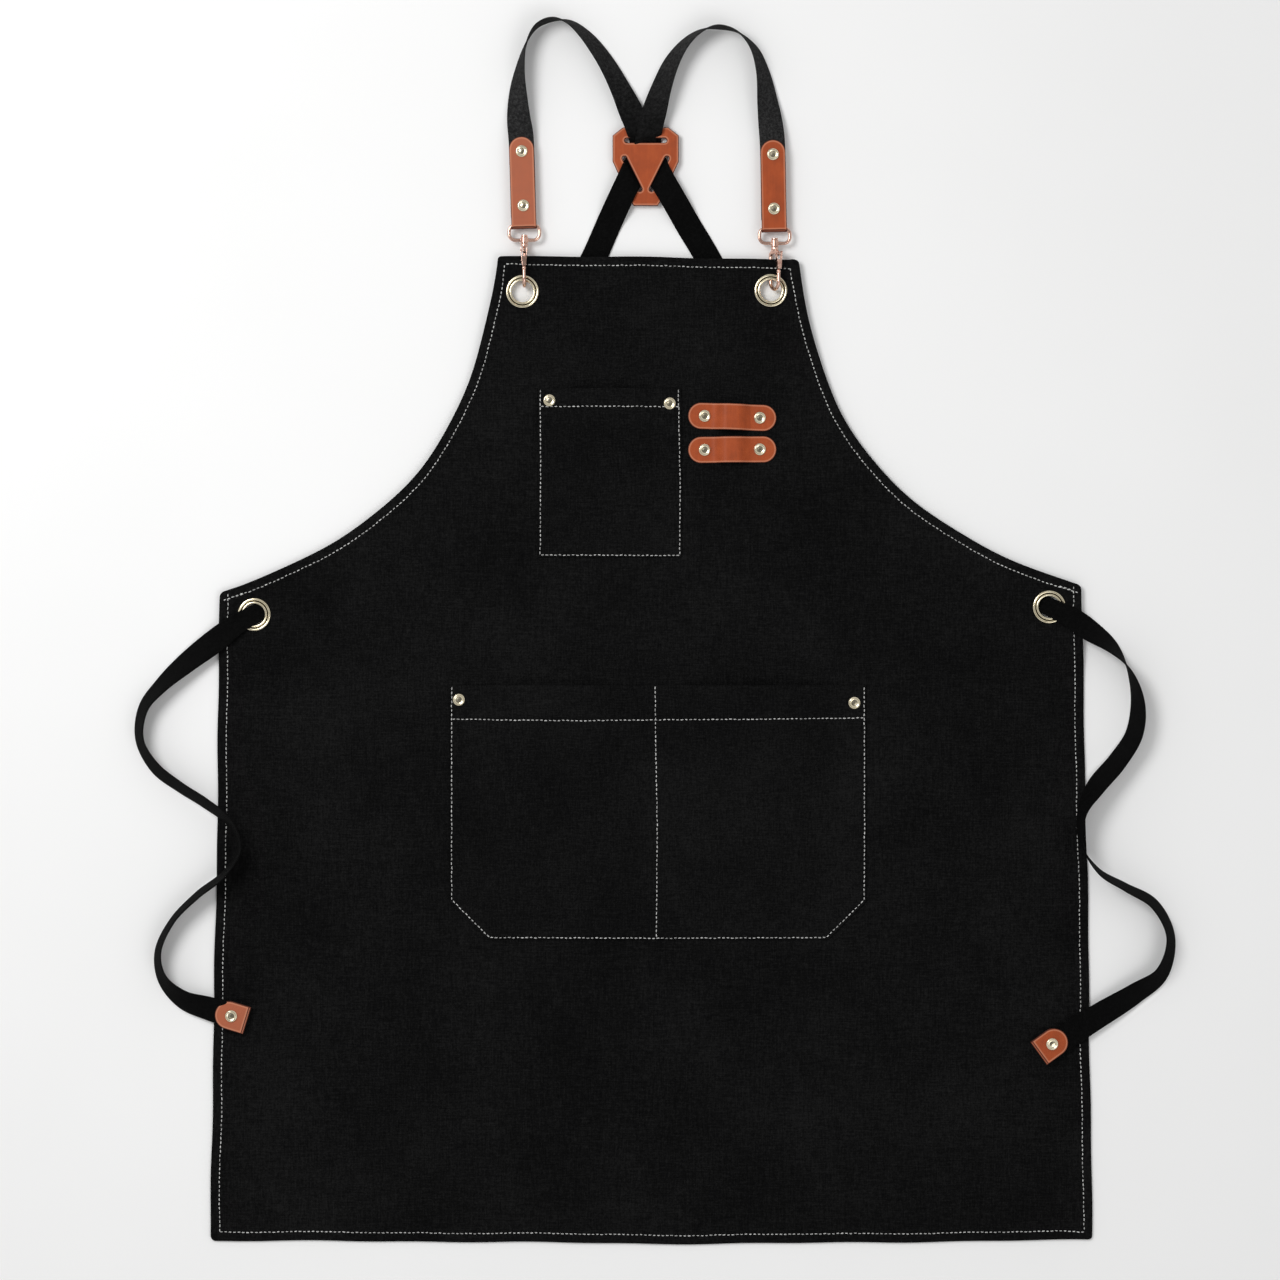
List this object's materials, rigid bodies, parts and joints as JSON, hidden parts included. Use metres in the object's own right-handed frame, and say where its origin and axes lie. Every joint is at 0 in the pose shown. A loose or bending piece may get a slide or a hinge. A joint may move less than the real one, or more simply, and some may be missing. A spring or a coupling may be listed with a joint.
{
  "type": "cross-back work apron",
  "caption": "Black canvas cross-back work apron laid flat, with webbing straps, leather fittings, snap hooks, eyelets and patch pockets.",
  "frame": {"origin": "middle of the panel, on its back face", "axes": "+X across the apron to the viewer's right, +Y from the hem to the bib, +Z out of the front face"},
  "size_m": [0.8244, 0.9705, 0.0235],
  "materials": {
    "canvas": "matte cotton canvas",
    "webbing": "matte herringbone webbing",
    "leather": "smooth tan leather",
    "pale_gold": "polished pale gold plate",
    "rose_gold": "polished rose gold plate",
    "spring_steel": "bright spring wire"
  },
  "bodies": {
    "apron": {"apron_panel": "canvas", "chest_pocket": "canvas", "lower_pocket": "canvas", "upper_brush_loop": "leather", "lower_brush_loop": "leather", "left_strap_tab": "leather", "right_strap_tab": "leather", "cross_slider": "leather", "left_end_tab": "leather", "right_end_tab": "leather", "bib_eyelets": "pale_gold", "bib_eyelet_washers": "pale_gold", "side_eyelets": "pale_gold", "side_eyelet_washers": "pale_gold", "tab_rivets": "pale_gold", "tab_rivet_backs": "pale_gold", "end_tab_rivets": "pale_gold", "end_tab_rivet_backs": "pale_gold", "pocket_rivets": "pale_gold", "pocket_rivet_backs": "pale_gold", "brush_loop_rivets": "pale_gold", "brush_loop_rivet_backs": "pale_gold", "left_swivel_loop": "rose_gold", "right_swivel_loop": "rose_gold", "left_strap": "webbing", "right_strap": "webbing"},
    "left_hook": {"left_snap_hook": "rose_gold", "left_gate_pin": "rose_gold", "left_gate_spring": "spring_steel"},
    "left_gate": {"left_gate": "rose_gold"},
    "right_hook": {"right_snap_hook": "rose_gold", "right_gate_pin": "rose_gold", "right_gate_spring": "spring_steel"},
    "right_gate": {"right_gate": "rose_gold"}
  },
  "joints": [
    {"name": "left_hook_swivel", "type": "hinge", "parent": "apron", "child": "left_hook", "pos_m": [-0.101, 0.403, 0.0075], "axis": [0, 1, 0], "range_deg": [-22, 22]},
    {"name": "left_gate_hinge", "type": "hinge", "parent": "left_hook", "child": "left_gate", "pos_m": [-0.101, 0.3945, 0.0135], "axis": [1, 0, 0], "range_deg": [0, 14], "stiffness_Nm_per_rad": 0.01, "springref_deg": -17.19},
    {"name": "right_hook_swivel", "type": "hinge", "parent": "apron", "child": "right_hook", "pos_m": [0.097, 0.4005, 0.0075], "axis": [0, 1, 0], "range_deg": [-58, 2]},
    {"name": "right_gate_hinge", "type": "hinge", "parent": "right_hook", "child": "right_gate", "pos_m": [0.1, 0.392, 0.0127], "axis": [0.866, 0, -0.5], "range_deg": [0, 14], "stiffness_Nm_per_rad": 0.01, "springref_deg": -17.19}
  ]
}
